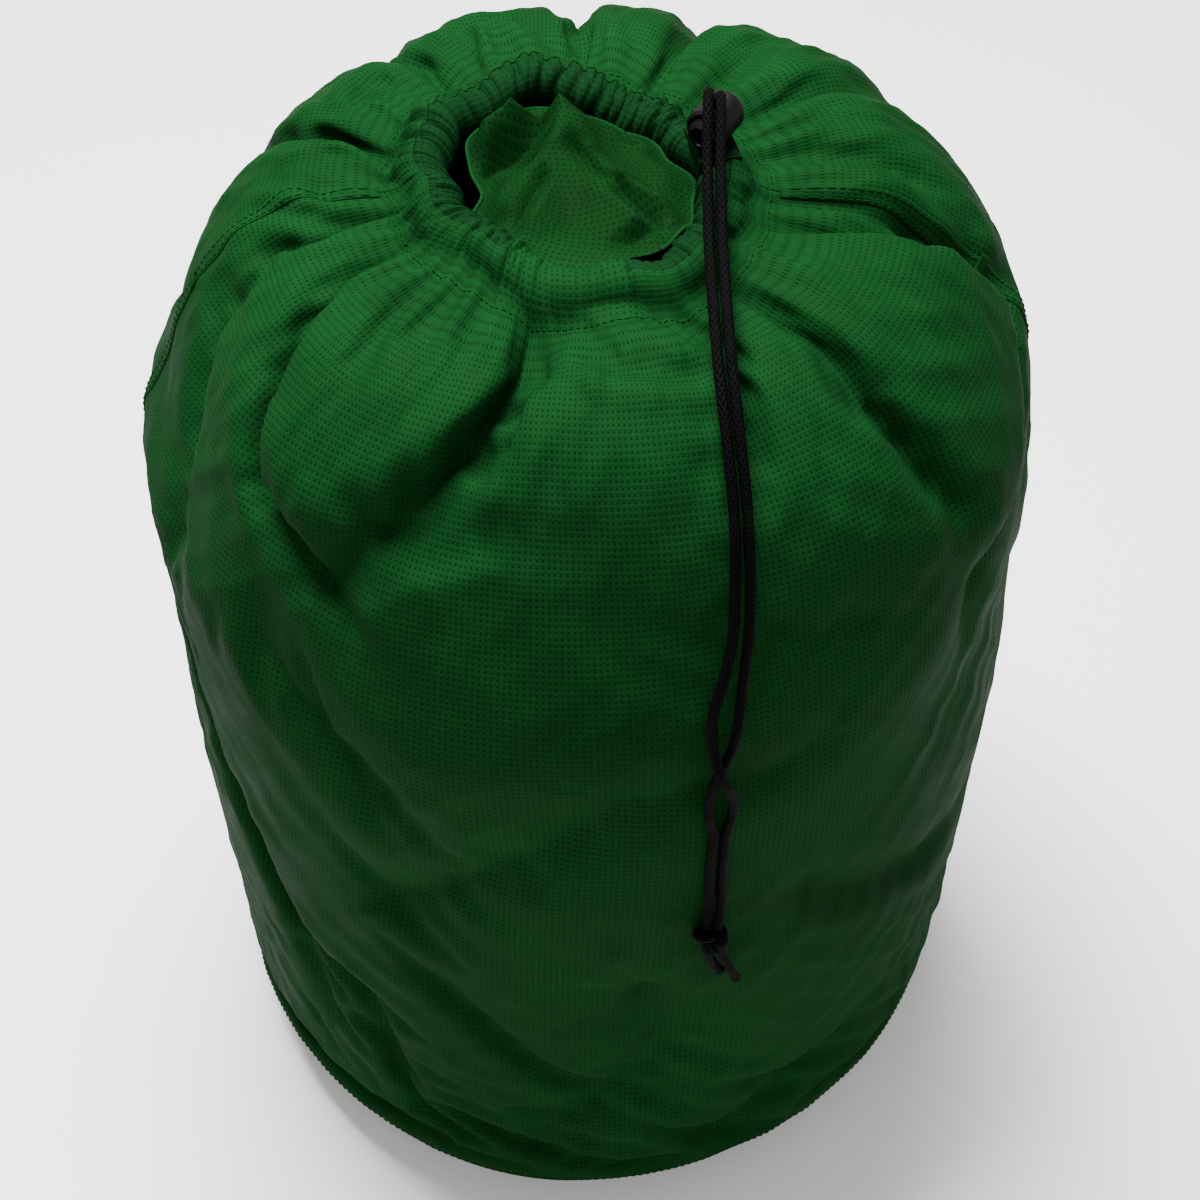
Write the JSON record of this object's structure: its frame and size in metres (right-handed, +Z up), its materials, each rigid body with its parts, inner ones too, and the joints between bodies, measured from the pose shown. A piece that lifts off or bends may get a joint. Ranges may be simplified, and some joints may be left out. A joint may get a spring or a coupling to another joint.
{
  "type": "laundry bag",
  "caption": "Round drawstring laundry bag standing filled out, with a gathered mouth, cover flap, cord lock and hanging drawcord.",
  "frame": {"origin": "centre of the round base, on the surface that the bag stands on", "axes": "+Z up through the mouth, -Y towards the front where the cord hangs, +X towards the side the cord leaves by"},
  "size_m": [0.3628, 0.3674, 0.508],
  "materials": {
    "cloth": "bottle-green nylon with a small ripstop grid, soft sheen",
    "flap_cloth": "reverse face of the same green nylon, smoother and a little yellower",
    "binding": "dark green woven tape",
    "thread": "green polyester sewing thread",
    "cord": "black braided polyester cord",
    "lock_plastic": "black moulded plastic, fine grain",
    "button_plastic": "black moulded plastic, smoother than the barrel",
    "eyelet_metal": "black lacquered brass",
    "spring_steel": "bright spring steel"
  },
  "bodies": {
    "bag": {"front_panel": "cloth", "back_panel": "cloth", "base_panel": "cloth", "side_seam_left": "cloth", "side_seam_right": "cloth", "side_stitching": "thread", "base_binding": "binding", "base_stitching": "thread", "casing": "cloth", "casing_stitching": "thread", "seam_bartacks": "thread", "eyelet_patch": "binding", "eyelet": "eyelet_metal", "eyelet_washer": "eyelet_metal", "drawcord_loop": "cord", "lock_body": "lock_plastic", "lock_spring": "spring_steel"},
    "lock_button": {"lock_button": "button_plastic"},
    "drawcord_ends": {"drawcord_left": "cord", "drawcord_right": "cord", "drawcord_knot": "cord", "cord_tips": "cord"},
    "cover_flap": {"cover_flap": "flap_cloth", "flap_hem": "flap_cloth", "flap_stitching": "thread"}
  },
  "joints": [
    {"name": "button_press", "type": "slide", "parent": "bag", "child": "lock_button", "axis": [0.5, 0.866, 0], "range_m": [0, 0.0035], "stiffness_N_per_m": 400, "springref_m": -0.003},
    {"name": "drawcord_pull", "type": "slide", "parent": "bag", "child": "drawcord_ends", "axis": [0, 0, 1], "range_m": [0, 0.1]},
    {"name": "flap_lift", "type": "hinge", "parent": "bag", "child": "cover_flap", "pos_m": [0, -0.057, 0.4807], "axis": [1, 0, 0], "range_deg": [0, 110]}
  ]
}
